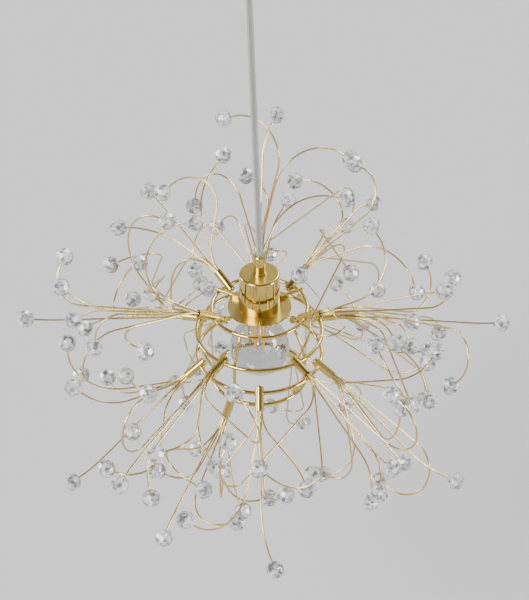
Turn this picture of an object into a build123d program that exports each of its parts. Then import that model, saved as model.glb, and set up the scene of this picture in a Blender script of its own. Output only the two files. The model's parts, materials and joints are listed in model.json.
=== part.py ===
# A hanging spray lamp: a ball-shaped cage of four rings below a brass lamp cup, with sprays of thin
# wires that end in faceted clear beads, around one screw-cap lamp. It hangs on a clear cord from a
# ceiling fitting. Millimetres, +Z up, origin in the middle of the ceiling bar's upper face.
import os
from math import atan2, cos, pi, radians, sin, sqrt, tan

from build123d import *

os.makedirs("parts", exist_ok=True)

# Clearances
FIT_GAP = 0.1  # between pieces that are pressed, crimped or brazed together
TURN_GAP = 0.3  # between pieces that turn or slide past each other

# Ceiling fitting
CANOPY_DIAMETER = 100
CANOPY_HEIGHT = 26
CANOPY_WALL = 1.2
CANOPY_EDGE_FILLET = 5
BAR_END_GAP = 2.8  # between the bar's ears and the inside of the canopy's wall
BAR_WIDTH = 18
BAR_THICKNESS = 2
BAR_EAR_DROP = 12
BAR_END_FILLET = 3
CEILING_HOLE_SPACING = 60
CEILING_HOLE_DIAMETER = 4.5
BAR_CORD_HOLE_DIAMETER = 12
SIDE_SCREW_DIAMETER = 3.5
SIDE_SCREW_HEAD_DIAMETER = 8
SIDE_SCREW_HEAD_HEIGHT = 4
SIDE_SCREW_END = 3  # how far the screw reaches past the inside of the ear
TERMINAL_LENGTH = 24
TERMINAL_WIDTH = 12
TERMINAL_HEIGHT = 13
TERMINAL_OFFSET = 24  # from the cord to the middle of the terminal block
TERMINAL_HOLE_DIAMETER = 3
TERMINAL_POLE_SPACING = 10
BUSH_DIAMETER = 12
BUSH_LENGTH = 14
BUSH_SHANK_DIAMETER = 9
BUSH_NUT_ACROSS = 14
BUSH_NUT_HEIGHT = 4
BUSH_CHAMFER = 1
BUSH_THREAD_SHOWING = 1

# Cord
CORD_DIAMETER = 6.5
CORD_FREE = 320
CORD_END_RUN = 15  # upright stretch at each end of the cord
CORD_GRIP = 6  # how deep the cord sits in the gland and in the bush
HANG_ASIDE = 10  # the stiff cord holds the lamp this far to one side of the ceiling fitting
CORD_RUN_SHARE = 0.45  # part of the shorter run that a corner's arc takes up

# Cord gland and lamp cup
GLAND_DIAMETER = 11
GLAND_HEIGHT = 15
GLAND_FOOT_DIAMETER = 13
GLAND_FOOT_HEIGHT = 2
GLAND_SHANK_DIAMETER = 9
GLAND_SHANK_LENGTH = 5
GLAND_NUT_DIAMETER = 12.5
GLAND_NUT_HEIGHT = 5
GLAND_NECK_DIAMETER = 9.4  # the collar that the gland nut turns on
CUP_DIAMETER = 40
CUP_HEIGHT = 41
CUP_WALL = 1
CUP_EDGE_FILLET = 2
CUP_FOOT_FILLET = 0.6
CUP_GROOVE_HEIGHT = 3.4  # from the cup's foot to the turned groove
CUP_GROOVE_DEPTH = 0.6
CUP_GROOVE_WIDTH = 1.2
FLANGE_DIAMETER = 63
FLANGE_THICKNESS = 1.5

# Lamp holder inside the cup
HOLDER_SKIRT_DIAMETER = 34
HOLDER_SKIRT_DROP = 5  # how far the skirt reaches below the flange
HOLDER_HEAD_GAP = 4  # wiring room between the holder and the cup's top
SHELL_WALL = 0.5
SHELL_LENGTH = 17
RING_NUT_DIAMETER = 42
RING_NUT_HEIGHT = 4
CONTACT_WIDTH = 6
CONTACT_THICKNESS = 0.8
CONTACT_REACH = 10

# Cage
CAGE_RADIUS = 64  # sphere through the middle of the ring rods
SHOULDER_LATITUDE = 42.5
WAIST_LATITUDE = 13
RING_ROD = 4
RIB_ROD = 3
RIB_COUNT = 5
RIB_FIRST = 30  # bearing of the first rib, in degrees
SPOKE_ROD = 3.5
SPOKE_COUNT = 3
SPOKE_FIRST = 30
SPOKE_INSET = 8  # how far a spoke lies on the flange
SPOKE_OVERHANG = 2  # how far a spoke passes the middle of its ring
SPOKE_LUG_LENGTH = 6
SPOKE_LUG_WIDTH = 5
SPOKE_LUG_HEIGHT = 4

# Sprays
TUBE_DIAMETER = 8.6
TUBE_WALL = 0.7
TUBE_END_FILLET = 1.6  # of the closed inner end
TUBE_INSIDE = 7  # length of a tube inside its ring
TUBE_OUTSIDE = 18  # length of a tube outside its ring
SHOULDER_TILT = 27  # of the tubes, in degrees above the level
UPPER_TILT = -8
LOWER_TILT = -38
BASE_TILT = -57
WIRE_DIAMETER = 1.8
SEAT_PITCH = 2.4  # between the wires' middles in a tube
WIRE_SEAT_GAP = 1  # between the ring inside a tube and the wires' inner ends
SPLAY_RADIUS = 36  # bend of each wire where it leaves its tube
LEAD_SHORTEST = 6  # straight wire that always stays between the splay and the crook
CROOK_EASING = 0.9  # a crook that doesn't fit its wire is made smaller by this factor
ROUTE_PASSES = 8
FACING_ROLLS = (-35, 0, 35)  # the crooks lie in planes that are rolled by these angles in turn
BEAD_RADIUS = 8.2  # to the middle of a facet
BEAD_TAIL = 12  # straight end of a wire, up to the middle of its bead
BEAD_ROLL = 25  # how far each bead is turned on from the one before, in degrees
FACETS_AROUND = 6
FACET_LATITUDES = (58, 20, -20, -58)

# The beads are placed as a viewer sees them who looks down at the lamp from the front
SIGHT_ELEVATION = 40
SIGHT_DISTANCE = 2000

# Each spray: its bearing on the ring, then for each wire the place of its bead (across, rise,
# towards the viewer), the turn of its crook (positive curls left) and the crook's radius
SHOULDER_SPRAYS = {
    198: [
        (-198, 54, 110, -40, 80),
        (-195, 84, 40, -110, 26),
        (-149, 76, -70, 120, 32),
        (-120, 78, -45, -170, 26),
        (-108, 47, -90, 60, 30),
        (-114, -10, 130, 110, 26),
        (-165, -7, 65, 95, 24),
    ],
    342: [
        (185, 49, 100, -8, 120),
        (193, 63, 60, 75, 22),
        (165, 79, 0, 140, 25),
        (152, -5, -50, -60, 18),
        (112, 115, 62, 105, 42),
        (179, 8, -80, -40, 60),
    ],
    48: [
        (95, 177, 20, 120, 27),
        (114, 138, -98, -25, 32),
        (35, 160, -60, 150, 32),
        (157, 49, -60, -105, 42),
        (118, 51, -110, -70, 26),
        (40, 66, 50, 170, 18),
        (91, 68, 10, -70, 20),
    ],
    90: [
        (-36, 222, 0, 125, 40),
        (17, 226, -30, -25, 80),
        (91, 182, -10, -115, 45),
        (-65, 135, -60, 150, 32),
        (87, 142, -40, -75, 60),
        (87, 115, -140, -130, 26),
    ],
    132: [
        (-111, 150, -60, 6, 200),
        (-97, 148, -20, 140, 28),
        (-141, 114, -20, 40, 80),
        (-36, 186, -60, -60, 60),
        (-59, 58, -128, 160, 26),
        (-51, 52, -105, 120, 22),
    ],
}
UPPER_SPRAYS = {
    162: [
        (-234, 22, 0, -6, 200),
        (-186, 21, 60, 25, 60),
        (-175, 13, -90, 25, 60),
        (-92, 120, 45, -140, 46),
        (-64, 119, 10, -105, 45),
        (-127, 42, -92, -80, 22),
        (-178, -34, -4, 75, 40),
    ],
    234: [
        (-111, -53, 140, -190, 28),
        (-140, -144, 120, 6, 200),
        (-103, -113, 160, -70, 36),
        (-108, -157, 90, 60, 42),
        (-26, -52, 160, 170, 26),
        (-44, -125, 100, 60, 60),
    ],
    306: [
        (-31, -101, 160, -150, 26),
        (0, -128, 160, -125, 36),
        (132, -54, 130, 180, 30),
        (119, -153, 130, -50, 60),
        (133, -128, 80, 10, 150),
        (111, -162, 60, -45, 50),
        (177, -10, 60, 60, 40),
    ],
    18: [
        (242, 18, 0, 6, 200),
        (153, 19, 8, 20, 60),
        (191, -45, 95, -150, 26),
        (170, -60, -30, -60, 50),
        (166, -57, -115, -40, 50),
        (137, -2, 45, -15, 90),
        (116, -4, 155, -150, 36),
    ],
    90: [
        (-43, 114, -150, 80, 30),
        (-3, 85, -140, 120, 20),
        (11, 87, -190, -120, 30),
        (29, 140, -120, -25, 80),
        (-64, 71, -150, 150, 26),
        (-13, 165, -90, 80, 22),
    ],
}
LOWER_SPRAYS = {
    198: [
        (-192, -2, 40, -100, 50),
        (-186, -47, 40, -50, 60),
        (-152, -36, -60, -60, 40),
        (-134, -35, 20, -80, 25),
        (-127, -91, 60, 6, 200),
        (-153, -128, 85, -120, 26),
        (-187, -141, 20, -12, 120),
    ],
    270: [
        (16, -229, 70, 25, 110),
        (9, -157, 35, 140, 26),
        (26, -154, 150, 70, 30),
        (-74, -179, 110, -105, 50),
        (48, -148, 90, -15, 90),
    ],
    342: [
        (196, -140, 60, 25, 100),
        (142, -67, 100, 105, 26),
        (120, -139, 0, -180, 30),
        (144, -122, -45, 8, 150),
        (53, -133, -30, -105, 30),
        (63, -133, -75, -95, 30),
        (155, -63, -20, -30, 60),
    ],
    126: [
        (-40, 30, -190, -60, 30),
        (-38, -7, -190, 40, 40),
        (-62, -28, -190, 90, 30),
        (-84, -42, -180, -90, 30),
        (-73, -62, -160, 30, 60),
    ],
    54: [
        (103, 17, -170, 60, 40),
        (77, 57, -170, 100, 30),
        (32, -16, -200, -60, 30),
        (169, -9, -62, 40, 50),
        (168, -22, -40, 60, 40),
    ],
}
BASE_SPRAYS = {
    234: [
        (-96, -197, 35, 6, 200),
        (-22, -181, 48, 120, 26),
        (-102, -130, 50, -90, 22),
        (-56, -149, 100, 120, 36),
        (-63, -108, -40, -60, 26),
        (-36, -131, 125, 90, 26),
        (-17, -170, -10, 12, 120),
    ],
    54: [
        (44, -81, -190, 60, 40),
        (11, -65, -210, -90, 30),
        (86, -67, -170, -90, 30),
    ],
}

# Lamp, a clear pear shape on a screw cap
LAMP_LENGTH = 108
LAMP_DIAMETER = 60
LAMP_SEAT = 25.8  # from the flange's upper face up to the lamp's tip
GLASS_WALL = 0.8
GLASS_PARTING = 25  # where the ball passes into the neck, in degrees above its widest part
NECK_DIAMETER = 27
NECK_LENGTH = 8
CAP_DIAMETER = 26
CAP_LENGTH = 22
CAP_THREAD_PITCH = 3.63
CAP_THREAD_DEPTH = 0.9
CAP_WALL = 0.5
CAP_CONE_LENGTH = 4
TIP_DIAMETER = 10
TIP_HEIGHT = 2
STEM_DIAMETER = 6
STEM_LENGTH = 50
FLARE_HEIGHT = 5
FILAMENT_COUNT = 4
FILAMENT_DIAMETER = 1.8
FILAMENT_TOP_SPREAD = 9  # from the lamp's axis to a filament's upper end
FILAMENT_FOOT_SPREAD = 4.6
FILAMENT_DROP = 25  # from the lower edge of the cap to the filaments' upper ends
FILAMENT_HEIGHT = 32
FILAMENT_FIRST = 45
LEAD_WIRE = 0.7
LEAD_RISE = 5  # from a filament's upper end to where its lead wire leaves the stem
LEAD_LAP = 1  # how far the lower lead wire reaches up beside its filament

# Heights, from the ceiling down to the lamp's own level
BUSH_FOOT = -CANOPY_HEIGHT - BUSH_LENGTH
GLAND_TOP = BUSH_FOOT - CORD_FREE

# Heights above the middle of the cage
shoulder_height = CAGE_RADIUS * sin(radians(SHOULDER_LATITUDE))
waist_height = CAGE_RADIUS * sin(radians(WAIST_LATITUDE))
flange_top = shoulder_height + RING_ROD / 2
flange_bottom = flange_top - FLANGE_THICKNESS
cup_top = flange_top + CUP_HEIGHT
gland_foot_top = cup_top + GLAND_FOOT_HEIGHT
gland_body_top = gland_foot_top + GLAND_HEIGHT
gland_top = gland_body_top + GLAND_NUT_HEIGHT + FIT_GAP
CENTRE = Vector(HANG_ASIDE, 0, GLAND_TOP - gland_top)


def level(height):
    """The level plane on the lamp's axis, at a height above the middle of the cage."""
    return Plane(CENTRE + Vector(0, 0, height))


def meridian(bearing):
    """The upright plane through the lamp's axis: its X points outwards, its Y upwards."""
    outwards = Vector(cos(radians(bearing)), sin(radians(bearing)), 0)
    return Plane(CENTRE, x_dir=outwards, z_dir=outwards.cross(Vector(0, 0, 1)))


def finish(piece, label):
    piece.part.label = label
    export_step(piece.part, f"parts/{label}.step")


# Ceiling bar: a strip with two ears turned down for the canopy's side screws
bar_end = CANOPY_DIAMETER / 2 - CANOPY_WALL - BAR_END_GAP
bar_bend = bar_end - BAR_THICKNESS
with BuildPart() as ceiling_bar:
    with BuildSketch(Plane.XZ) as bar_side:
        with BuildLine():
            Polyline(
                (-bar_end, -BAR_EAR_DROP),
                (-bar_end, 0),
                (bar_end, 0),
                (bar_end, -BAR_EAR_DROP),
                (bar_bend, -BAR_EAR_DROP),
                (bar_bend, -BAR_THICKNESS),
                (-bar_bend, -BAR_THICKNESS),
                (-bar_bend, -BAR_EAR_DROP),
                close=True,
            )
        make_face()
    extrude(amount=BAR_WIDTH / 2, both=True)
    fillet(ceiling_bar.edges().filter_by(Axis.X).group_by(Axis.Z)[0], BAR_END_FILLET)
    with Locations(Plane.XY):
        with GridLocations(CEILING_HOLE_SPACING, 1, 2, 1):
            Hole(CEILING_HOLE_DIAMETER / 2)
        Hole(BAR_CORD_HOLE_DIAMETER / 2)
    with Locations(Plane.YZ.offset(bar_end)):
        with Locations((0, -BAR_EAR_DROP / 2)):
            Hole(SIDE_SCREW_DIAMETER / 2 + FIT_GAP)
finish(ceiling_bar, "ceiling_bar")

# Canopy: a round cup with its open side against the ceiling
with BuildPart() as canopy:
    Cylinder(CANOPY_DIAMETER / 2, CANOPY_HEIGHT, align=(Align.CENTER, Align.CENTER, Align.MAX))
    fillet(canopy.edges().group_by(Axis.Z)[0], CANOPY_EDGE_FILLET)
    offset(amount=-CANOPY_WALL, openings=canopy.faces().sort_by(Axis.Z)[-1])
    with Locations(Plane.XY):
        Hole(BUSH_SHANK_DIAMETER / 2 + FIT_GAP)
    with Locations(Plane.YZ.offset(CANOPY_DIAMETER / 2)):
        with Locations((0, -BAR_EAR_DROP / 2)):
            Hole(SIDE_SCREW_DIAMETER / 2 + FIT_GAP)
finish(canopy, "canopy")

# Side screws: thumb screws through the canopy's wall into the bar's ears
side_screw_length = CANOPY_DIAMETER / 2 - bar_bend + SIDE_SCREW_END
with BuildPart() as side_screws:
    for side in (1, -1):
        with BuildSketch(Plane((side * CANOPY_DIAMETER / 2, 0, -BAR_EAR_DROP / 2), z_dir=(side, 0, 0))):
            Circle(SIDE_SCREW_HEAD_DIAMETER / 2)
        extrude(amount=SIDE_SCREW_HEAD_HEIGHT)
        with BuildSketch(Plane((side * CANOPY_DIAMETER / 2, 0, -BAR_EAR_DROP / 2), z_dir=(-side, 0, 0))):
            Circle(SIDE_SCREW_DIAMETER / 2)
        extrude(amount=side_screw_length)
finish(side_screws, "canopy_screws")

# Canopy bush: a turned sleeve that the cord comes down through, held by a nut inside the canopy
canopy_floor = -CANOPY_HEIGHT + CANOPY_WALL
bush_shank_top = canopy_floor + BUSH_NUT_HEIGHT + BUSH_THREAD_SHOWING
with BuildPart() as canopy_bush:
    with BuildSketch(Plane.XZ):
        with BuildLine():
            Polyline(
                (0, BUSH_FOOT),
                (BUSH_DIAMETER / 2, BUSH_FOOT),
                (BUSH_DIAMETER / 2, -CANOPY_HEIGHT),
                (BUSH_SHANK_DIAMETER / 2, -CANOPY_HEIGHT),
                (BUSH_SHANK_DIAMETER / 2, bush_shank_top),
                (0, bush_shank_top),
                close=True,
            )
        make_face()
    revolve(axis=Axis.Z)
    chamfer(canopy_bush.edges().group_by(Axis.Z)[0], BUSH_CHAMFER)
    with Locations(Plane.XY.offset(bush_shank_top)):
        Hole(CORD_DIAMETER / 2 + FIT_GAP)
finish(canopy_bush, "canopy_bush")

with BuildPart() as canopy_nut:
    with BuildSketch(Plane.XY.offset(canopy_floor)):
        RegularPolygon(BUSH_NUT_ACROSS / 2, 6, major_radius=False)
        Circle(BUSH_SHANK_DIAMETER / 2 + FIT_GAP, mode=Mode.SUBTRACT)
    extrude(amount=BUSH_NUT_HEIGHT)
finish(canopy_nut, "canopy_nut")

# Terminal block under the bar, beside the cord, with two poles
with BuildPart() as terminal_block:
    with BuildSketch(Plane((TERMINAL_OFFSET, 0, -BAR_THICKNESS))):
        RectangleRounded(TERMINAL_WIDTH, TERMINAL_LENGTH, 1)
    extrude(amount=-TERMINAL_HEIGHT)
    terminal_middle = (TERMINAL_OFFSET, 0, -BAR_THICKNESS - TERMINAL_HEIGHT / 2)
    with Locations(Plane(terminal_middle, x_dir=(0, 1, 0), z_dir=(1, 0, 0))):
        with GridLocations(TERMINAL_POLE_SPACING, 1, 2, 1):
            Hole(TERMINAL_HOLE_DIAMETER / 2)
finish(terminal_block, "terminal_block")

# Cord: upright where it leaves the bush and the gland, with one straight leaning run between
cord_top = BUSH_FOOT + CORD_GRIP
cord_bottom = GLAND_TOP - CORD_GRIP
CORD_ROUTE = [
    (HANG_ASIDE, 0, cord_bottom),
    (HANG_ASIDE, 0, cord_bottom + CORD_GRIP + CORD_END_RUN),
    (0, 0, cord_top - CORD_GRIP - CORD_END_RUN),
    (0, 0, cord_top),
]
cord_lean = atan2(HANG_ASIDE, CORD_FREE - 2 * CORD_END_RUN)
cord_bend_radius = CORD_RUN_SHARE * (CORD_GRIP + CORD_END_RUN) / tan(cord_lean / 2)
with BuildPart() as pendant_cord:
    with BuildLine() as cord_path:
        FilletPolyline(*CORD_ROUTE, radius=cord_bend_radius)
    with BuildSketch(Plane(CORD_ROUTE[0])):
        Circle(CORD_DIAMETER / 2)
    sweep(path=cord_path.wires()[0])
finish(pendant_cord, "pendant_cord")
print(f"cord: {cord_path.wires()[0].length:.1f} mm long, bend radius {cord_bend_radius:.0f} mm")

# Gland: a turned brass body screwed into the cup, with a nut that closes it on the cord
with BuildPart() as gland_body:
    with BuildSketch(Plane(CENTRE, x_dir=(1, 0, 0), z_dir=(0, -1, 0))):
        with BuildLine():
            Polyline(
                (0, cup_top - GLAND_SHANK_LENGTH),
                (GLAND_SHANK_DIAMETER / 2, cup_top - GLAND_SHANK_LENGTH),
                (GLAND_SHANK_DIAMETER / 2, cup_top),
                (GLAND_FOOT_DIAMETER / 2, cup_top),
                (GLAND_FOOT_DIAMETER / 2, gland_foot_top),
                (GLAND_DIAMETER / 2, gland_foot_top),
                (GLAND_DIAMETER / 2, gland_body_top),
                (GLAND_NECK_DIAMETER / 2, gland_body_top),
                (GLAND_NECK_DIAMETER / 2, gland_top),
                (0, gland_top),
                close=True,
            )
        make_face()
    revolve(axis=Axis(CENTRE, (0, 0, 1)))
    with Locations(level(gland_top)):
        Hole(CORD_DIAMETER / 2 + FIT_GAP)
finish(gland_body, "gland_body")

with BuildPart() as gland_nut:
    with BuildSketch(level(gland_body_top + FIT_GAP)):
        Circle(GLAND_NUT_DIAMETER / 2)
        Circle(GLAND_NECK_DIAMETER / 2 + FIT_GAP / 2, mode=Mode.SUBTRACT)
    extrude(amount=GLAND_NUT_HEIGHT)
    chamfer(gland_nut.edges().group_by(Axis.Z)[-1].sort_by(SortBy.LENGTH)[-1], 0.6)
finish(gland_nut, "gland_nut")

# Lamp cup: a spun shell, open below, with a turned groove above its foot
with BuildPart() as lamp_cup:
    with BuildSketch(level(flange_top)):
        Circle(CUP_DIAMETER / 2)
    extrude(amount=CUP_HEIGHT)
    fillet(lamp_cup.edges().group_by(Axis.Z)[-1], CUP_EDGE_FILLET)
    fillet(lamp_cup.edges().group_by(Axis.Z)[0], CUP_FOOT_FILLET)
    with BuildSketch(level(flange_top)):
        Circle(CUP_DIAMETER / 2 - CUP_WALL)
    extrude(amount=CUP_HEIGHT - CUP_WALL, mode=Mode.SUBTRACT)
    with BuildSketch(level(cup_top)):
        Circle(GLAND_SHANK_DIAMETER / 2 + FIT_GAP)
    extrude(amount=-CUP_WALL, mode=Mode.SUBTRACT)
    with BuildSketch(level(flange_top + CUP_GROOVE_HEIGHT)):
        Circle(CUP_DIAMETER / 2)
        Circle(CUP_DIAMETER / 2 - CUP_GROOVE_DEPTH, mode=Mode.SUBTRACT)
    extrude(amount=CUP_GROOVE_WIDTH, mode=Mode.SUBTRACT)
finish(lamp_cup, "lamp_cup")

# Flange: the round plate that the cup stands on and the cage hangs from
with BuildPart() as cup_flange:
    with BuildSketch(level(flange_bottom)):
        Circle(FLANGE_DIAMETER / 2)
        Circle(HOLDER_SKIRT_DIAMETER / 2 + FIT_GAP, mode=Mode.SUBTRACT)
    extrude(amount=FLANGE_THICKNESS)
finish(cup_flange, "cup_flange")

# Lamp holder: a moulded body in the cup, whose skirt passes the flange and takes the ring nut
holder_top = cup_top - CUP_WALL - HOLDER_HEAD_GAP - GLAND_SHANK_LENGTH
holder_mouth = flange_bottom - HOLDER_SKIRT_DROP
tip_top = flange_top + LAMP_SEAT
shell_radius = CAP_DIAMETER / 2 + TURN_GAP
bore_radius = shell_radius + SHELL_WALL + FIT_GAP
bore_top = tip_top + CONTACT_THICKNESS + TURN_GAP
with BuildPart() as holder_body:
    with BuildSketch(Plane(CENTRE, x_dir=(1, 0, 0), z_dir=(0, -1, 0))):
        with BuildLine():
            Polyline(
                (bore_radius, holder_mouth),
                (HOLDER_SKIRT_DIAMETER / 2, holder_mouth),
                (HOLDER_SKIRT_DIAMETER / 2, flange_top),
                (CUP_DIAMETER / 2 - CUP_WALL - FIT_GAP, flange_top),
                (CUP_DIAMETER / 2 - CUP_WALL - FIT_GAP, holder_top),
                (0, holder_top),
                (0, bore_top),
                (bore_radius, bore_top),
                close=True,
            )
        make_face()
    revolve(axis=Axis(CENTRE, (0, 0, 1)))
finish(holder_body, "holder_body")

with BuildPart() as ring_nut:
    with BuildSketch(level(flange_bottom)):
        Circle(RING_NUT_DIAMETER / 2)
        Circle(HOLDER_SKIRT_DIAMETER / 2 + FIT_GAP, mode=Mode.SUBTRACT)
    extrude(amount=-RING_NUT_HEIGHT)
    chamfer(ring_nut.edges().group_by(Axis.Z)[0].sort_by(SortBy.LENGTH)[-1], 0.8)
finish(ring_nut, "ring_nut")

# Screw shell: a rolled brass sleeve, with a sprung contact tongue above it
shell_top = tip_top - TIP_HEIGHT - CAP_CONE_LENGTH
with BuildPart() as screw_shell:
    with BuildSketch(level(shell_top)):
        Circle(shell_radius + SHELL_WALL)
        Circle(shell_radius, mode=Mode.SUBTRACT)
    extrude(amount=-SHELL_LENGTH)
finish(screw_shell, "screw_shell")

with BuildPart() as centre_contact:
    with BuildSketch(level(tip_top + FIT_GAP)):
        SlotOverall(2 * CONTACT_REACH, CONTACT_WIDTH)
    extrude(amount=CONTACT_THICKNESS)
finish(centre_contact, "centre_contact")

# Cage: four rings of round rod on one sphere
RINGS = {
    "shoulder": (SHOULDER_LATITUDE, SHOULDER_TILT, SHOULDER_SPRAYS),
    "upper": (WAIST_LATITUDE, UPPER_TILT, UPPER_SPRAYS),
    "lower": (-WAIST_LATITUDE, LOWER_TILT, LOWER_SPRAYS),
    "base": (-SHOULDER_LATITUDE, BASE_TILT, BASE_SPRAYS),
}
for ring_name, (latitude, tilt, sprays) in RINGS.items():
    with BuildPart() as ring:
        with Locations(level(CAGE_RADIUS * sin(radians(latitude)))):
            Torus(CAGE_RADIUS * cos(radians(latitude)), RING_ROD / 2)
    finish(ring, f"{ring_name}_ring")

# Ribs: bent rods brazed to the inner sides of the rings
rib_radius = CAGE_RADIUS - (RING_ROD + RIB_ROD) / 2 - FIT_GAP
with BuildPart() as cage_ribs:
    for number in range(RIB_COUNT):
        plane = meridian(RIB_FIRST + number * 360 / RIB_COUNT)
        with BuildLine(plane) as rib_path:
            CenterArc((0, 0), rib_radius, -SHOULDER_LATITUDE, 2 * SHOULDER_LATITUDE)
        with BuildSketch(Plane(rib_path.line @ 0, z_dir=rib_path.line % 0)):
            Circle(RIB_ROD / 2)
        sweep(path=rib_path.line)
finish(cage_ribs, "cage_ribs")

# Spokes: straight rods from a lug on the flange to the top of the shoulder ring
spoke_height = flange_top + SPOKE_ROD / 2
spoke_start = FLANGE_DIAMETER / 2 - SPOKE_INSET
spoke_end = CAGE_RADIUS * cos(radians(SHOULDER_LATITUDE)) + SPOKE_OVERHANG
with BuildPart() as cage_spokes:
    for number in range(SPOKE_COUNT):
        plane = meridian(SPOKE_FIRST + number * 360 / SPOKE_COUNT)
        inner_end = plane.from_local_coords(Vector(spoke_start, spoke_height))
        with BuildSketch(Plane(inner_end, z_dir=plane.x_dir)):
            Circle(SPOKE_ROD / 2)
        extrude(amount=spoke_end - spoke_start)
        lug_middle = plane.from_local_coords(Vector(spoke_start + SPOKE_LUG_LENGTH / 2, flange_top))
        with BuildSketch(Plane(lug_middle, x_dir=plane.x_dir)):
            Rectangle(SPOKE_LUG_LENGTH, SPOKE_LUG_WIDTH)
        extrude(amount=SPOKE_LUG_HEIGHT)
finish(cage_spokes, "cage_spokes")

# One faceted bead, cut from a ball, with a blind hole for the end of its wire
with BuildPart() as bead:
    Sphere(2 * BEAD_RADIUS)
    split(bisect_by=Plane.XY.offset(BEAD_RADIUS), keep=Keep.BOTTOM)
    split(bisect_by=Plane.XY.offset(-BEAD_RADIUS), keep=Keep.TOP)
    for row, latitude in enumerate(FACET_LATITUDES):
        for number in range(FACETS_AROUND):
            around = radians((number + row / 2) * 360 / FACETS_AROUND)
            tilted = radians(latitude)
            facing = Vector(cos(tilted) * cos(around), cos(tilted) * sin(around), sin(tilted))
            split(bisect_by=Plane(facing * BEAD_RADIUS, z_dir=facing), keep=Keep.BOTTOM)
    with BuildSketch(Plane.XY.offset(FIT_GAP)):
        Circle(WIRE_DIAMETER / 2 + FIT_GAP)
    extrude(amount=-2 * BEAD_RADIUS, mode=Mode.SUBTRACT)

# Sight directions of the viewer who placed the beads
sight_up = Vector(0, sin(radians(SIGHT_ELEVATION)), cos(radians(SIGHT_ELEVATION)))
sight_towards = Vector(0, -cos(radians(SIGHT_ELEVATION)), sin(radians(SIGHT_ELEVATION)))


def bead_place(across, rise, towards):
    """The point that the viewer sees at across and rise from the middle, so much nearer than it."""
    seen = Vector(across, 0, 0) + sight_up * rise
    return CENTRE + seen * (1 - towards / SIGHT_DISTANCE) + sight_towards * towards


def tube_frame(latitude, tilt, bearing):
    """The middle of the ring's rod at a bearing, and the direction of the tube there."""
    plane = meridian(bearing)
    across = CAGE_RADIUS * cos(radians(latitude))
    rise = CAGE_RADIUS * sin(radians(latitude))
    middle = plane.from_local_coords(Vector(across, rise))
    direction = plane.x_dir * cos(radians(tilt)) + Vector(0, 0, 1) * sin(radians(tilt))
    return middle, direction


def wire_route(mouth, axis, place, turn, radius, facing):
    """Splay end, crook start, crook end and heading of a wire from the tube's mouth to its bead."""
    angle = radians(abs(turn))
    side = 1 if turn > 0 else -1
    while True:
        start = mouth
        lead = 0
        for _ in range(ROUTE_PASSES):
            chord = place - start
            along = chord.normalized()
            aside = facing.cross(along).normalized() * side
            sideways = radius * (1 - cos(angle)) + BEAD_TAIL * sin(angle)
            if sideways >= chord.length:
                lead = 0
                break
            forwards = sqrt(chord.length**2 - sideways**2)
            lead = forwards - radius * sin(angle) - BEAD_TAIL * cos(angle)
            heading = (along * forwards - aside * sideways) / chord.length
            curl = (along * sideways + aside * forwards) / chord.length
            splay = radians(axis.get_angle(heading))
            start = mouth + (axis + heading) * (SPLAY_RADIUS * tan(splay / 2))
        if lead > LEAD_SHORTEST:
            break
        radius = radius * CROOK_EASING
        angle = angle * CROOK_EASING
    crook = start + heading * lead
    crook_end = crook + heading * (radius * sin(angle)) + curl * (radius * (1 - cos(angle)))
    return start, crook, crook_end, heading


def seat_order(axis, headings):
    """Seats in a tube: the straightest wire in the middle, the others around it in order of roll."""
    frame = Plane((0, 0, 0), z_dir=axis)
    straightest = min(range(len(headings)), key=lambda index: axis.get_angle(headings[index]))
    rolls = {}
    for index, heading in enumerate(headings):
        if index != straightest:
            local = frame.to_local_coords(heading)
            rolls[index] = atan2(local.Y, local.X)
    around = sorted(rolls, key=rolls.get)
    steps = [2 * pi * round(step * 6 / len(around)) / 6 for step in range(len(around))]
    first = sum(rolls[index] - step for index, step in zip(around, steps)) / len(around)
    seats = {straightest: Vector(0, 0, 0)}
    for index, step in zip(around, steps):
        sideways = frame.x_dir * cos(first + step) + frame.y_dir * sin(first + step)
        seats[index] = sideways * SEAT_PITCH
    return seats


def spray_routes(middle, axis, spray):
    """For each wire of a spray: its inner end, outlet, splay end, crook, crook end, bead, heading."""
    mouth = middle + axis * TUBE_OUTSIDE
    bends = []
    for index, (across, rise, towards, turn, radius) in enumerate(spray):
        place = bead_place(across, rise, towards)
        roll = FACING_ROLLS[index % len(FACING_ROLLS)]
        facing = sight_towards.rotate(Axis((0, 0, 0), place - mouth), roll)
        bends.append((place, turn, radius, facing))
    seats = seat_order(axis, [wire_route(mouth, axis, *bend)[3] for bend in bends])
    routes = []
    for index, bend in enumerate(bends):
        outlet = mouth + seats[index]
        inlet = middle + axis * (RING_ROD / 2 + WIRE_SEAT_GAP) + seats[index]
        splay_end, crook, crook_end, heading = wire_route(outlet, axis, *bend)
        routes.append((inlet, outlet, splay_end, crook, crook_end, bend[0], heading))
    return routes


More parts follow.
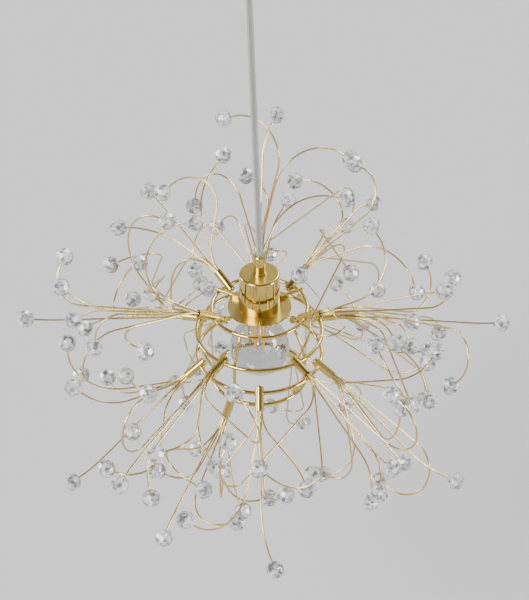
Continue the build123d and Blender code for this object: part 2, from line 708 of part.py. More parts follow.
# Sprays: on each ring the tubes, the wires of each tube and the beads on them
for ring_name, (latitude, tilt, sprays) in RINGS.items():
    with BuildPart() as tubes:
        for bearing in sprays:
            middle, axis = tube_frame(latitude, tilt, bearing)
            inner_end = Plane(middle - axis * TUBE_INSIDE, z_dir=axis)
            with BuildSketch(inner_end):
                Circle(TUBE_DIAMETER / 2)
            extrude(amount=TUBE_INSIDE + TUBE_OUTSIDE)
            rims = tubes.edges().filter_by(GeomType.CIRCLE)
            fillet(rims.sort_by_distance(inner_end.origin)[0], TUBE_END_FILLET)
            with BuildSketch(Plane(middle + axis * TUBE_OUTSIDE, z_dir=-axis)):
                Circle(TUBE_DIAMETER / 2 - TUBE_WALL)
            extrude(amount=TUBE_INSIDE + TUBE_OUTSIDE - TUBE_WALL, mode=Mode.SUBTRACT)
        with Locations(level(CAGE_RADIUS * sin(radians(latitude)))):
            Torus(CAGE_RADIUS * cos(radians(latitude)), RING_ROD / 2 + FIT_GAP, mode=Mode.SUBTRACT)
    finish(tubes, f"{ring_name}_tubes")
    bead_frames = []
    for number, (bearing, spray) in enumerate(sprays.items(), start=1):
        middle, axis = tube_frame(latitude, tilt, bearing)
        with BuildPart() as spray_wires:
            for route in spray_routes(middle, axis, spray):
                inlet, outlet, splay_end, crook, crook_end, place, heading = route
                with BuildLine() as wire_path:
                    Line(inlet, outlet)
                    TangentArc(outlet, splay_end, tangent=axis)
                    Line(splay_end, crook)
                    TangentArc(crook, crook_end, tangent=heading)
                    Line(crook_end, place)
                with BuildSketch(Plane(inlet, z_dir=axis)):
                    Circle(WIRE_DIAMETER / 2)
                sweep(path=wire_path.wires()[0])
                bead_frame = Plane(place, z_dir=place - crook_end)
                bead_frames.append(bead_frame.location * Rotation(0, 0, BEAD_ROLL * len(bead_frames)))
        finish(spray_wires, f"{ring_name}_spray_{number}")
    with BuildPart() as beads:
        with Locations(*bead_frames):
            add(bead.part)
    finish(beads, f"{ring_name}_beads")
    print(f"{ring_name} ring: {len(sprays)} sprays, {len(bead_frames)} beads")

# Lamp glass: a blown pear shape, closed below, its neck sealed by the stem's flare
ball_radius = LAMP_DIAMETER / 2
ball_height = tip_top - LAMP_LENGTH + ball_radius
cap_top = tip_top - TIP_HEIGHT
cap_bottom = cap_top - CAP_LENGTH
neck_foot = cap_bottom - NECK_LENGTH
lamp_section = Plane(CENTRE, x_dir=(1, 0, 0), z_dir=(0, -1, 0))
lamp_axis = Axis(CENTRE, (0, 0, 1))
parting = radians(GLASS_PARTING)
with BuildPart() as bulb_glass:
    for wall, mode in ((0, Mode.ADD), (GLASS_WALL, Mode.SUBTRACT)):
        inner_ball = ball_radius - wall
        neck_radius = NECK_DIAMETER / 2 - wall
        shoulder_point = (inner_ball * cos(parting), ball_height + inner_ball * sin(parting))
        with BuildSketch(lamp_section):
            with BuildLine():
                CenterArc((0, ball_height), inner_ball, -90, 90 + GLASS_PARTING)
                Spline(
                    shoulder_point,
                    (neck_radius, neck_foot),
                    tangents=((-sin(parting), cos(parting)), (0, 1)),
                )
                Polyline(
                    (neck_radius, neck_foot),
                    (neck_radius, cap_bottom),
                    (0, cap_bottom),
                    (0, ball_height - inner_ball),
                )
            make_face()
        revolve(axis=lamp_axis, mode=mode)
finish(bulb_glass, "bulb_glass")

# Screw cap with rolled thread ridges, open at the top for the tip contact's insulator
ridge_count = int((CAP_LENGTH - CAP_CONE_LENGTH) / CAP_THREAD_PITCH)
cap_radius = CAP_DIAMETER / 2
cone_radius = TIP_DIAMETER / 2 + CAP_WALL
cap_line = [(cap_radius, cap_bottom + FIT_GAP)]
for ridge in range(ridge_count):
    ridge_top = cap_top - CAP_CONE_LENGTH - (ridge_count - ridge - 1) * CAP_THREAD_PITCH
    cap_line.append((cap_radius - CAP_THREAD_DEPTH, ridge_top - CAP_THREAD_PITCH / 2))
    cap_line.append((cap_radius, ridge_top))
with BuildPart() as bulb_cap:
    with BuildSketch(lamp_section):
        with BuildLine():
            Polyline(
                (0, cap_bottom + FIT_GAP),
                *cap_line,
                (cone_radius, cap_top),
                (0, cap_top),
                close=True,
            )
        make_face()
    revolve(axis=lamp_axis)
    with BuildSketch(level(cap_bottom)):
        Circle(cap_radius - CAP_THREAD_DEPTH - CAP_WALL)
    extrude(amount=CAP_LENGTH - CAP_CONE_LENGTH, mode=Mode.SUBTRACT)
finish(bulb_cap, "bulb_cap")

with BuildPart() as bulb_tip:
    with BuildSketch(level(cap_top)):
        Circle(TIP_DIAMETER / 2)
    extrude(amount=TIP_HEIGHT)
finish(bulb_tip, "bulb_tip")

# Stem: a glass rod that flares out to seal the neck
flare_radius = NECK_DIAMETER / 2 - GLASS_WALL - FIT_GAP
stem_foot = cap_bottom - STEM_LENGTH
with BuildPart() as bulb_stem:
    with BuildSketch(lamp_section):
        with BuildLine():
            Polyline(
                (0, stem_foot),
                (STEM_DIAMETER / 2, stem_foot),
                (STEM_DIAMETER / 2, cap_bottom - 2 * FLARE_HEIGHT),
                (flare_radius, cap_bottom - FLARE_HEIGHT),
                (flare_radius, cap_bottom),
                (0, cap_bottom),
                close=True,
            )
        make_face()
    revolve(axis=lamp_axis)
finish(bulb_stem, "bulb_stem")

# Filaments in a cone that narrows downwards, and the lead wires that hold them on the stem
filament_top = cap_bottom - FILAMENT_DROP
filament_foot = filament_top - FILAMENT_HEIGHT
with BuildPart() as bulb_filaments:
    for number in range(FILAMENT_COUNT):
        plane = meridian(FILAMENT_FIRST + number * 360 / FILAMENT_COUNT)
        foot = plane.from_local_coords(Vector(FILAMENT_FOOT_SPREAD, filament_foot))
        head = plane.from_local_coords(Vector(FILAMENT_TOP_SPREAD, filament_top))
        with BuildSketch(Plane(foot, z_dir=head - foot)):
            Circle(FILAMENT_DIAMETER / 2)
        extrude(amount=(head - foot).length)
finish(bulb_filaments, "bulb_filaments")

upper_root = (STEM_DIAMETER / 2 + LEAD_WIRE / 2, filament_top + LEAD_RISE)
upper_tip = (FILAMENT_TOP_SPREAD, filament_top + LEAD_WIRE)
lower_root = (STEM_DIAMETER / 4, stem_foot - LEAD_WIRE / 2)
lower_spread = FILAMENT_FOOT_SPREAD - (FILAMENT_DIAMETER + LEAD_WIRE) / 2 - FIT_GAP
lower_tip = (lower_spread, filament_foot + LEAD_LAP)
with BuildPart() as bulb_leads:
    for number in range(FILAMENT_COUNT):
        plane = meridian(FILAMENT_FIRST + number * 360 / FILAMENT_COUNT)
        for inner, outer in ((upper_root, upper_tip), (lower_root, lower_tip)):
            root = plane.from_local_coords(Vector(*inner))
            reach = plane.from_local_coords(Vector(*outer)) - root
            with BuildSketch(Plane(root, z_dir=reach)):
                Circle(LEAD_WIRE / 2)
            extrude(amount=reach.length)
finish(bulb_leads, "bulb_leads")
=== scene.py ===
# %% [markdown]
# # A hanging spray lamp
# The lamp is a ball of bent gold wires with a faceted clear bead on the end of each one. The wires
# sit in short tubes on a cage of brass rings, and the cage hangs under a polished cup that holds one
# clear filament lamp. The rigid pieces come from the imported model, so this script starts by loading
# it as a fixed frame, and then gives every piece its finish and adds what the frame can't show.

# %% Load the frame
import json
import math

import bpy
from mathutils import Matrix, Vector


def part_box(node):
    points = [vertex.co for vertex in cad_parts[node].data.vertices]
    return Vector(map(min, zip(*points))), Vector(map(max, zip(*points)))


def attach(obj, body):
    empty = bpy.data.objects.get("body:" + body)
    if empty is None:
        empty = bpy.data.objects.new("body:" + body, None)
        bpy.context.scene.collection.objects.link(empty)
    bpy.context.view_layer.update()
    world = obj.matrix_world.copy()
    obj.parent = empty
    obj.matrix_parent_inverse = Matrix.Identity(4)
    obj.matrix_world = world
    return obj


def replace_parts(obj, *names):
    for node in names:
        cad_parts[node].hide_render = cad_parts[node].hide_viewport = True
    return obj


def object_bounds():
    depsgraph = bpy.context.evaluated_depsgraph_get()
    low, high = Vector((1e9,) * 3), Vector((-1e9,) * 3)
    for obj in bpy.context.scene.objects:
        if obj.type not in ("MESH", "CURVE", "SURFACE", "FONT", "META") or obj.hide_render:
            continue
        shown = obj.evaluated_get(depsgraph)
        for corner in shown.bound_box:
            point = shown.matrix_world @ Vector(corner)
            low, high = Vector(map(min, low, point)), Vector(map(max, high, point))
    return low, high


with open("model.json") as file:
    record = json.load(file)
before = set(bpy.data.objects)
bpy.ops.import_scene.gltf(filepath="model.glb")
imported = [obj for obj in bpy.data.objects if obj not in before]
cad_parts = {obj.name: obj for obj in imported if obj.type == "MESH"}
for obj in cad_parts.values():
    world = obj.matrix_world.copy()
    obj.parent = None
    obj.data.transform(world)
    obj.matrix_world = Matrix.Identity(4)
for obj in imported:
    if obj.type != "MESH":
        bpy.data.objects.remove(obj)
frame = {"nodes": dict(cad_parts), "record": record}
cad_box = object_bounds()
nodes = frame["nodes"]

# %% [markdown]
# ## Where the viewer stands
# The viewer looks down at the lamp from about 40 degrees, from two metres away. A long lens keeps the
# near and the far beads about the same size. The frame is 529 by 600 pixels and its height belongs to
# the sensor's 36 mm, so 2000 pixels of focal length make a lens of 120 mm. A small shift puts the
# middle of the cage a little left of and below the frame's middle.

# %% Camera
SIGHT_ELEVATION = math.radians(40)
SIGHT_DISTANCE = 2.0
SENSOR = 36.0
FOCAL_PIXELS = 2000.0
FRAME_WIDTH, FRAME_HEIGHT = 529.0, 600.0
CAGE_MIDDLE_X, CAGE_MIDDLE_Y = 259.5, 341.0

ring_low, ring_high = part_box("upper_ring")
under_low, under_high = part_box("lower_ring")
cage_middle = (ring_low + ring_high + under_low + under_high) / 4

sight = bpy.data.cameras.new("sight")
sight.sensor_fit = "VERTICAL"
sight.sensor_height = SENSOR
sight.lens = SENSOR * FOCAL_PIXELS / FRAME_HEIGHT
sight.shift_x = (FRAME_WIDTH / 2 - CAGE_MIDDLE_X) / FRAME_HEIGHT
sight.shift_y = (CAGE_MIDDLE_Y - FRAME_HEIGHT / 2) / FRAME_HEIGHT
camera = bpy.data.objects.new("camera", sight)
bpy.context.collection.objects.link(camera)
towards = Vector((0, -math.cos(SIGHT_ELEVATION), math.sin(SIGHT_ELEVATION)))
camera.location = cage_middle + towards * SIGHT_DISTANCE
camera.rotation_euler = (math.pi / 2 - SIGHT_ELEVATION, 0, 0)
bpy.context.scene.camera = camera
print("cage middle", [round(c, 4) for c in cage_middle])

# %% [markdown]
# ## Finishes in code
# A finish is a small node tree. Writing it as sums and products keeps it readable, so one class wraps
# a value that varies over a surface and turns arithmetic into Math nodes, and another one makes the
# material, adds any other node and joins everything to the surface shader.

# %% Shader helpers
class Varying:
    """A number that varies over a surface. Arithmetic on it adds Math nodes."""

    def __init__(self, finish, socket):
        self.finish = finish
        self.socket = socket

    def math(self, operation, first, second):
        return self.finish.value("ShaderNodeMath", {"operation": operation}, {0: first, 1: second})

    def __add__(self, other):
        return self.math("ADD", self, other)

    def __sub__(self, other):
        return self.math("SUBTRACT", self, other)

    def __mul__(self, other):
        return self.math("MULTIPLY", self, other)

    def __gt__(self, other):
        return self.math("GREATER_THAN", self, other)

    __radd__ = __add__
    __rmul__ = __mul__


class Finish:
    """One material with a Principled surface."""

    def __init__(self, name):
        self.material = bpy.data.materials.new(name)
        self.material.use_nodes = True
        self.tree = self.material.node_tree
        self.surface = self.tree.nodes["Principled BSDF"]

    def node(self, kind, settings=None, sockets=None):
        made = self.tree.nodes.new(kind)
        for key, setting in (settings or {}).items():
            setattr(made, key, setting)
        for key, value in (sockets or {}).items():
            self.join(made.inputs[key], value)
        return made

    def value(self, kind, settings=None, sockets=None, output=0):
        return Varying(self, self.node(kind, settings, sockets).outputs[output])

    def join(self, socket, value):
        if isinstance(value, Varying):
            self.tree.links.new(value.socket, socket)
        elif isinstance(value, bpy.types.NodeSocket):
            self.tree.links.new(value, socket)
        elif value is not None:
            socket.default_value = value

    def place(self):
        return self.node("ShaderNodeTexCoord").outputs["Object"]

    def noise(self, scale, detail=3.0, stretch=None):
        where = self.place()
        if stretch:
            where = self.node("ShaderNodeMapping", None, {"Vector": where, "Scale": stretch}).outputs[0]
        return self.value("ShaderNodeTexNoise", None, {"Vector": where, "Scale": scale, "Detail": detail})

    def between(self, low, high, share):
        """A colour between two colours."""
        mixed = self.node("ShaderNodeMix", {"data_type": "RGBA"})
        self.join(mixed.inputs["Factor"], share)
        colours = [s for s in mixed.inputs if s.type == "RGBA"]
        colours[0].default_value = (*low, 1.0)
        colours[1].default_value = (*high, 1.0)
        return [s for s in mixed.outputs if s.type == "RGBA"][0]

    def bump(self, height, distance, strength):
        sockets = {"Height": height, "Distance": distance, "Strength": strength}
        self.join(self.surface.inputs["Normal"], self.node("ShaderNodeBump", None, sockets).outputs[0])

    def set(self, **sockets):
        for key, value in sockets.items():
            self.join(self.surface.inputs[key.replace("_", " ")], value)


# %% [markdown]
# ## Cord
# The lamp hangs on a clear, greyish plastic cord in which two cores show. The cord is a smooth spline
# along the few points of its route, with a round bevel for the sheath. The cores follow the same spline:
# a small node tree carries a pair of circles along it, so their spacing and thickness are two inputs.

# %% Cord sheath
CORD_DIAMETER = 0.0065
CORD_STEPS = 24
CORD_ROUNDING = 6
CORE_RADIUS = 0.0007
CORE_OFFSET = 0.0012
CORE_SIDES = 12
CORD_ROUTE = [(0.010, 0, -0.366), (0.010, 0, -0.345), (0, 0, -0.055), (0, 0, -0.034)]


def route_curve(name, points):
    curve = bpy.data.curves.new(name, "CURVE")
    curve.dimensions = "3D"
    curve.resolution_u = CORD_STEPS
    spline = curve.splines.new("NURBS")
    spline.points.add(len(points) - 1)
    for point, place in zip(spline.points, points):
        point.co = (*place, 1.0)
    spline.order_u = 3
    spline.use_endpoint_u = True
    piece = bpy.data.objects.new(name, curve)
    bpy.context.collection.objects.link(piece)
    return piece


cord_sheath = route_curve("cord_sheath", CORD_ROUTE)
cord_sheath.data.bevel_depth = CORD_DIAMETER / 2
cord_sheath.data.bevel_resolution = CORD_ROUNDING
cord_sheath.data.use_fill_caps = True

# %% Node tree helpers
def new_tree(name, **inputs):
    """A geometry node tree with a geometry input and output and the named extra inputs."""
    tree = bpy.data.node_groups.new(name, "GeometryNodeTree")
    tree.interface.new_socket("Geometry", in_out="INPUT", socket_type="NodeSocketGeometry")
    for label, kind in inputs.items():
        tree.interface.new_socket(label.replace("_", " "), in_out="INPUT", socket_type=kind)
    tree.interface.new_socket("Geometry", in_out="OUTPUT", socket_type="NodeSocketGeometry")
    return tree, tree.nodes.new("NodeGroupInput"), tree.nodes.new("NodeGroupOutput")


def add_node(tree, kind, settings=None, **sockets):
    """A node in a tree, with its settings, and with a value or a link for each named socket."""
    made = tree.nodes.new(kind)
    for key, setting in (settings or {}).items():
        setattr(made, key, setting)
    for key, value in sockets.items():
        socket = made.inputs[key.replace("_", " ")]
        if isinstance(value, bpy.types.NodeSocket):
            tree.links.new(value, socket)
        else:
            socket.default_value = value
    return made


def finish_tree(tree, last, given, result):
    """Ends a tree: real geometry in place of instances, with the finish that was given."""
    realized = add_node(tree, "GeometryNodeRealizeInstances", Geometry=last.outputs[0])
    painted = add_node(
        tree,
        "GeometryNodeSetMaterial",
        Geometry=realized.outputs[0],
        Material=given.outputs["Finish"],
    )
    tree.links.new(painted.outputs[0], result.inputs[0])


def grow(piece, tree, values):
    """Runs a tree on a piece and returns the result as a plain mesh object of the same name."""
    modifier = piece.modifiers.new("grow", "NODES")
    modifier.node_group = tree
    for item in tree.interface.items_tree:
        if item.in_out == "INPUT" and item.name in values:
            modifier[item.identifier] = values[item.name]
    bpy.context.view_layer.update()
    ready = piece.evaluated_get(bpy.context.evaluated_depsgraph_get())
    mesh = bpy.data.meshes.new_from_object(ready)
    name = piece.name
    bpy.data.objects.remove(piece)
    grown = bpy.data.objects.new(name, mesh)
    bpy.context.collection.objects.link(grown)
    print(f"{name}: {len(mesh.polygons)} faces")
    return grown


# %% Cord cores
core_tree, given, result = new_tree(
    "cord_cores",
    Core_radius="NodeSocketFloat",
    Core_offset="NodeSocketFloat",
    Finish="NodeSocketMaterial",
)
circle = add_node(
    core_tree,
    "GeometryNodeCurvePrimitiveCircle",
    Resolution=CORE_SIDES,
    Radius=given.outputs["Core radius"],
)
pair = add_node(core_tree, "GeometryNodeJoinGeometry")
for side in (1.0, -1.0):
    offset = add_node(
        core_tree,
        "ShaderNodeMath",
        {"operation": "MULTIPLY"},
        Value=given.outputs["Core offset"],
    )
    offset.inputs[1].default_value = side
    sideways = add_node(core_tree, "ShaderNodeCombineXYZ", X=offset.outputs[0])
    moved = add_node(
        core_tree,
        "GeometryNodeTransform",
        Geometry=circle.outputs["Curve"],
        Translation=sideways.outputs[0],
    )
    core_tree.links.new(moved.outputs[0], pair.inputs[0])
carried = add_node(
    core_tree,
    "GeometryNodeCurveToMesh",
    Curve=given.outputs["Geometry"],
    Profile_Curve=pair.outputs[0],
    Fill_Caps=True,
)
finish_tree(core_tree, carried, given, result)

core_finish = Finish("core_copper")
strands = core_finish.value(
    "ShaderNodeTexWave",
    {"bands_direction": "DIAGONAL"},
    {"Vector": core_finish.place(), "Scale": 260.0, "Distortion": 0.4},
)
core_finish.set(
    Base_Color=core_finish.between((0.06, 0.055, 0.05), (0.28, 0.26, 0.23), strands),
    Metallic=0.9,
    Roughness=0.3 + 0.15 * strands,
)
cord_cores = grow(
    route_curve("cord_cores", CORD_ROUTE),
    core_tree,
    {"Core radius": CORE_RADIUS, "Core offset": CORE_OFFSET, "Finish": core_finish.material},
)

# %% Cord finish
sheath_finish = Finish("clear_cord")
cloud = sheath_finish.noise(60.0)
sheath_finish.set(
    Base_Color=sheath_finish.between((0.50, 0.50, 0.49), (0.66, 0.66, 0.65), cloud),
    Roughness=0.12 + 0.1 * cloud,
    IOR=1.5,
    Transmission_Weight=0.6,
)
cord_sheath.data.materials.append(sheath_finish.material)
for piece in (cord_sheath, cord_cores):
    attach(piece, "hanging_frame")
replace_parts(cord_sheath, "pendant_cord")

# %% [markdown]
# ## Polished brass
# The cup, the gland, the rings and the tubes are polished and lacquered brass. A polished turned piece
# isn't a perfect mirror: fine lines run round it from the lathe, and the level faces are only brushed,
# so they look paler and softer than the sides. The surface normal tells the two apart.

# %% Brass finishes
LEVEL_FACE = 0.95
LATHE_LINES = (0.05, 0.05, 6.0)
CAST_GRAIN = (1.0, 1.0, 1.0)


def brass(name, dark, light, rough, level_rough, lines):
    finish = Finish(name)
    patch = finish.noise(35.0)
    fine = finish.noise(420.0, 2.0, lines)
    facing = finish.node("ShaderNodeNewGeometry").outputs["Normal"]
    height = finish.value("ShaderNodeSeparateXYZ", None, {"Vector": facing}, 2)
    level = height > LEVEL_FACE
    finish.set(
        Base_Color=finish.between(dark, light, 0.35 * patch + 0.65 * fine),
        Metallic=1.0,
        Roughness=rough + 0.05 * fine + (level_rough - rough) * level,
        Coat_Weight=0.3,
    )
    finish.bump(fine, 0.00002, 0.2)
    return finish.material


polished_brass = brass(
    "polished_brass",
    dark=(0.45, 0.32, 0.07),
    light=(0.72, 0.54, 0.15),
    rough=0.05,
    level_rough=0.30,
    lines=LATHE_LINES,
)
satin_brass = brass(
    "satin_brass",
    dark=(0.44, 0.33, 0.09),
    light=(0.66, 0.51, 0.17),
    rough=0.28,
    level_rough=0.36,
    lines=LATHE_LINES,
)
bare_brass = brass(
    "bare_brass",
    dark=(0.46, 0.33, 0.10),
    light=(0.64, 0.48, 0.18),
    rough=0.30,
    level_rough=0.34,
    lines=CAST_GRAIN,
)

# %% [markdown]
# ## Wires
# The wires are thin, bright and golden, with the faint streaks that a drawing die leaves. Each one is
# already bent in the frame. The streaks come from a noise that is finer than the wire is thick.

# %% Wire finish
wire_finish = Finish("wire_gold")
streak = wire_finish.noise(900.0, 2.0)
patch = wire_finish.noise(18.0)
wire_finish.set(
    Base_Color=wire_finish.between((0.46, 0.34, 0.10), (0.84, 0.66, 0.28), 0.5 * streak + 0.5 * patch),
    Metallic=1.0,
    Roughness=0.14 + 0.12 * streak,
)
wire_finish.bump(streak, 0.00001, 0.4)

# %% [markdown]
# ## Beads
# Each wire ends in a clear bead with many small flat facets. A ball made of triangles becomes such a
# bead when its dual is taken: every corner turns into a flat five- or six-sided facet. A node tree puts
# one bead on each place, turned at random with a fixed seed, so that no two catch the light alike. It
# also gives each facet a random brightness, which is painted reflection: the bead's colour is lighter or
# darker per facet, as a cut bead shows a different part of the room in each facet. A pattern of fine
# cells over it adds painted glints for the far facets that glint through the bead. The places come
# from the frame: each bead there is a solid of its own, and its middle is the place.

# %% Bead places
def solid_middles(node):
    """The middles of the separate solids in a node's mesh."""
    mesh = nodes[node].data
    corner_of = {}
    parent = []

    def top(index):
        while parent[index] != index:
            parent[index] = parent[parent[index]]
            index = parent[index]
        return index

    def corner(vertex):
        key = tuple(round(c, 6) for c in mesh.vertices[vertex].co)
        if key not in corner_of:
            corner_of[key] = len(parent)
            parent.append(len(parent))
        return corner_of[key]

    for polygon in mesh.polygons:
        corners = [corner(v) for v in polygon.vertices]
        for other in corners[1:]:
            parent[top(other)] = top(corners[0])
    groups = {}
    for key, index in corner_of.items():
        groups.setdefault(top(index), []).append(Vector(key))
    middles = []
    for points in groups.values():
        low = Vector(map(min, zip(*points)))
        high = Vector(map(max, zip(*points)))
        middles.append((low + high) / 2)
    return middles


# %% Bead tree
bead_tree, given, result = new_tree(
    "faceted_beads",
    Bead_radius="NodeSocketFloat",
    Seed="NodeSocketInt",
    Finish="NodeSocketMaterial",
)
ball = add_node(
    bead_tree,
    "GeometryNodeMeshIcoSphere",
    Radius=given.outputs["Bead radius"],
    Subdivisions=2,
)
facets = add_node(bead_tree, "GeometryNodeDualMesh", Mesh=ball.outputs["Mesh"])
turn = add_node(
    bead_tree,
    "FunctionNodeRandomValue",
    {"data_type": "FLOAT_VECTOR"},
    Seed=given.outputs["Seed"],
)
turn.inputs[1].default_value = (2 * math.pi, 2 * math.pi, 2 * math.pi)
strung = add_node(
    bead_tree,
    "GeometryNodeInstanceOnPoints",
    Points=given.outputs["Geometry"],
    Instance=facets.outputs[0],
    Rotation=turn.outputs[0],
)
loose = add_node(bead_tree, "GeometryNodeRealizeInstances", Geometry=strung.outputs[0])
# A random brightness per facet, stored as a painted reflection for the finish to read.
shade = add_node(bead_tree, "FunctionNodeRandomValue", {"data_type": "FLOAT"}, Seed=given.outputs["Seed"])
reflection_stored = add_node(
    bead_tree,
    "GeometryNodeStoreNamedAttribute",
    {"data_type": "FLOAT", "domain": "FACE"},
    Geometry=loose.outputs[0],
    Name="painted_facet_reflection",
)
bead_tree.links.new(shade.outputs["Value"], [s for s in reflection_stored.inputs if s.name == "Value"][0])
flat = add_node(bead_tree, "GeometryNodeSetShadeSmooth", Geometry=reflection_stored.outputs[0], Shade_Smooth=False)
finish_tree(bead_tree, flat, given, result)

# %% Bead finish
GLINT_SCALE = 420.0
bead_finish = Finish("clear_acrylic")
# Painted reflection and painted glints: the per-facet brightness and fine cells lighten the bead's colour.
reflection_per_facet = bead_finish.value("ShaderNodeAttribute", {"attribute_name": "painted_facet_reflection"}, None, "Fac")
glints = bead_finish.value(
    "ShaderNodeTexVoronoi",
    None,
    {"Vector": bead_finish.place(), "Scale": GLINT_SCALE},
    "Color",
)
glint = bead_finish.value("ShaderNodeSeparateColor", None, {"Color": glints})
# The share of white in the bead's colour: painted facet reflections plus painted glints.
painted_reflection_share = 0.55 * reflection_per_facet + 0.65 * glint - 0.14
bead_finish.set(
    Base_Color=bead_finish.between((0.12, 0.125, 0.135), (1.0, 1.0, 1.0), painted_reflection_share),
    Roughness=0.02 + 0.06 * reflection_per_facet,
    IOR=1.7,
    Transmission_Weight=0.15,
)

# %% Beads on their wires
BEAD_RADIUS = 0.0094
for seed, ring in enumerate(("shoulder", "upper", "lower", "base")):
    places = bpy.data.meshes.new(f"{ring}_bead_set")
    places.from_pydata(solid_middles(f"{ring}_beads"), [], [])
    bead_set = bpy.data.objects.new(f"{ring}_bead_set", places)
    bpy.context.collection.objects.link(bead_set)
    bead_set = grow(
        bead_set,
        bead_tree,
        {"Bead radius": BEAD_RADIUS, "Seed": seed, "Finish": bead_finish.material},
    )
    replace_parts(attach(bead_set, "hanging_frame"), f"{ring}_beads")

# %% [markdown]
# ## Lamp
# The lamp is clear glass with a stem and four upright filaments in it. The glass in the frame has an
# inner and an outer wall, so a plain glass shader bends the light as the real one does. The filaments
# are coated rods that look orange when they are off and glow softly when they are on.

# %% Lamp finishes
glass_finish = Finish("clear_glass")
ripple = glass_finish.noise(14.0)
glass_finish.set(
    Base_Color=glass_finish.between((0.66, 0.67, 0.67), (0.79, 0.80, 0.80), ripple),
    Roughness=0.01 * ripple,
    IOR=1.46,
    Transmission_Weight=1.0,
)

glow_finish = Finish("filament_glow")
chips = glow_finish.value(
    "ShaderNodeTexWave",
    {"bands_direction": "Z"},
    {"Vector": glow_finish.place(), "Scale": 180.0},
)
glow_finish.set(
    Base_Color=glow_finish.between((0.82, 0.40, 0.03), (0.92, 0.52, 0.07), chips),
    Emission_Color=glow_finish.between((1.0, 0.36, 0.01), (1.0, 0.48, 0.03), chips),
    Roughness=0.4 + 0.2 * chips,
    Emission_Strength=0.9,
)


def plain_metal(name, dark, light, rough, scale):
    finish = Finish(name)
    grain = finish.noise(scale, 4.0)
    finish.set(Base_Color=finish.between(dark, light, grain), Metallic=1.0, Roughness=rough + 0.15 * grain)
    finish.bump(grain, 0.00002, 0.5)
    return finish.material


lead_metal = plain_metal("lead_metal", (0.50, 0.50, 0.50), (0.70, 0.70, 0.69), rough=0.25, scale=600.0)
nickel_cap = plain_metal("nickel_cap", (0.66, 0.66, 0.65), (0.82, 0.82, 0.81), rough=0.22, scale=220.0)
solder_tip = plain_metal("solder_tip", (0.46, 0.46, 0.46), (0.62, 0.62, 0.62), rough=0.40, scale=300.0)
zinc_steel = plain_metal("zinc_steel", (0.50, 0.52, 0.55), (0.68, 0.69, 0.70), rough=0.32, scale=90.0)

# %% [markdown]
# ## Holder and ceiling fitting
# These pieces hardly show. The holder is unglazed ceramic, the ring nut is black moulded plastic and the
# terminal block is white. A fine bump keeps their surfaces from looking painted on.

# %% Plain finishes
def moulded(name, dark, light, rough, scale):
    finish = Finish(name)
    grain = finish.noise(scale, 5.0)
    finish.set(Base_Color=finish.between(dark, light, grain), Roughness=rough + 0.2 * grain)
    finish.bump(grain, 0.00005, 0.5)
    return finish.material


white_ceramic = moulded("white_ceramic", (0.80, 0.78, 0.73), (0.90, 0.89, 0.85), rough=0.45, scale=260.0)
black_plastic = moulded(
    "black_plastic",
    (0.015, 0.015, 0.016),
    (0.035, 0.035, 0.036),
    rough=0.40,
    scale=500.0,
)
white_plastic = moulded("white_plastic", (0.80, 0.80, 0.78), (0.88, 0.88, 0.87), rough=0.40, scale=500.0)

# %% Finishes on the frame's pieces
FINISHES = {
    "polished_brass": polished_brass,
    "satin_brass": satin_brass,
    "bare_brass": bare_brass,
    "wire_gold": wire_finish.material,
    "clear_acrylic": bead_finish.material,
    "clear_cord": sheath_finish.material,
    "clear_glass": glass_finish.material,
    "filament_glow": glow_finish.material,
    "lead_metal": lead_metal,
    "nickel_cap": nickel_cap,
    "solder_tip": solder_tip,
    "zinc_steel": zinc_steel,
    "white_ceramic": white_ceramic,
    "black_plastic": black_plastic,
    "white_plastic": white_plastic,
}
for entry in frame["record"]["subparts"]:
    piece = nodes[entry["node"]]
    piece.data.materials.clear()
    piece.data.materials.append(FINISHES[entry["material_slot"]])
print(f"{len(FINISHES)} finishes on {len(nodes)} nodes")

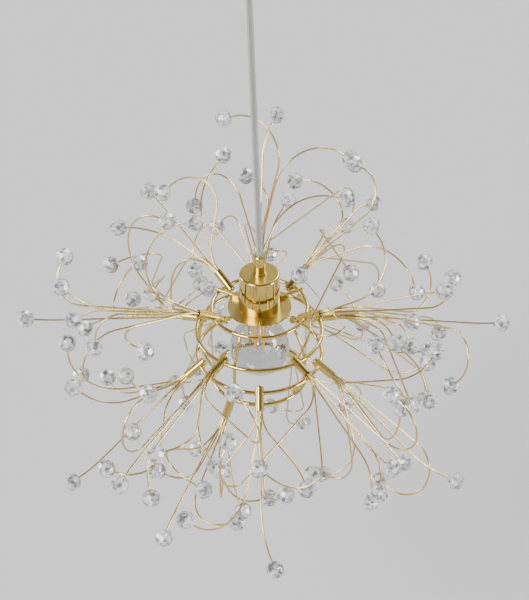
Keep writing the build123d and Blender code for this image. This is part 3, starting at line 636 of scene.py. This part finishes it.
# %% [markdown]
# ## Room and light
# A plain pale floor lies below the lamp, far enough for its shadow to be soft. Two wide far lights from
# above fall on it evenly, so it looks the same from every side. Two low ones from the left and the right
# hardly reach the floor: they draw the bright upright bands on the turned brass and light up wires and
# beads. At the horizon the room is as bright as the floor, so that no line shows where the two meet.
# Overhead it is darker, which gives the polished metal something dark to reflect.

# %% Floor
FLOOR_DROP = 0.35
FLOOR_HALF = 40.0
floor_level = cad_box[0][2] - FLOOR_DROP
floor_corners = [(-1, -1), (1, -1), (1, 1), (-1, 1)]
floor_mesh = bpy.data.meshes.new("floor")
floor_mesh.from_pydata(
    [(x * FLOOR_HALF, y * FLOOR_HALF, floor_level) for x, y in floor_corners],
    [],
    [(0, 1, 2, 3)],
)
floor = bpy.data.objects.new("floor", floor_mesh)
bpy.context.collection.objects.link(floor)
floor_finish = Finish("pale_floor")
floor_finish.set(Base_Color=(0.58, 0.58, 0.58, 1.0), Roughness=0.9, Specular_IOR_Level=0.0)
floor_mesh.materials.append(floor_finish.material)

# %% Lights
def far_light(name, place, strength, width):
    light = bpy.data.lights.new(name, "SUN")
    light.energy = strength
    light.angle = math.radians(width)
    lamp = bpy.data.objects.new(name, light)
    lamp.rotation_euler = (-Vector(place)).to_track_quat("-Z", "Y").to_euler()
    bpy.context.collection.objects.link(lamp)


far_light("key_light", place=(-1.3, -1.2, 1.6), strength=4.0, width=30.0)
far_light("back_light", place=(0.9, 1.6, 1.3), strength=2.2, width=25.0)
far_light("right_light", place=(1.7, -0.6, 0.3), strength=2.4, width=20.0)
far_light("left_light", place=(-1.6, 0.5, 0.25), strength=1.8, width=20.0)

ROOM_LOW, ROOM_HIGH = 1.10, 0.08
world = bpy.data.worlds.new("room")
world.use_nodes = True
room = world.node_tree
direction = add_node(room, "ShaderNodeTexCoord")
upward = add_node(room, "ShaderNodeSeparateXYZ", Vector=direction.outputs["Generated"])
sweep = add_node(room, "ShaderNodeMapRange", Value=upward.outputs["Z"], To_Min=ROOM_LOW, To_Max=ROOM_HIGH)
room.nodes["Background"].inputs["Color"].default_value = (1.0, 1.0, 1.0, 1.0)
room.links.new(sweep.outputs[0], room.nodes["Background"].inputs["Strength"])
bpy.context.scene.world = world
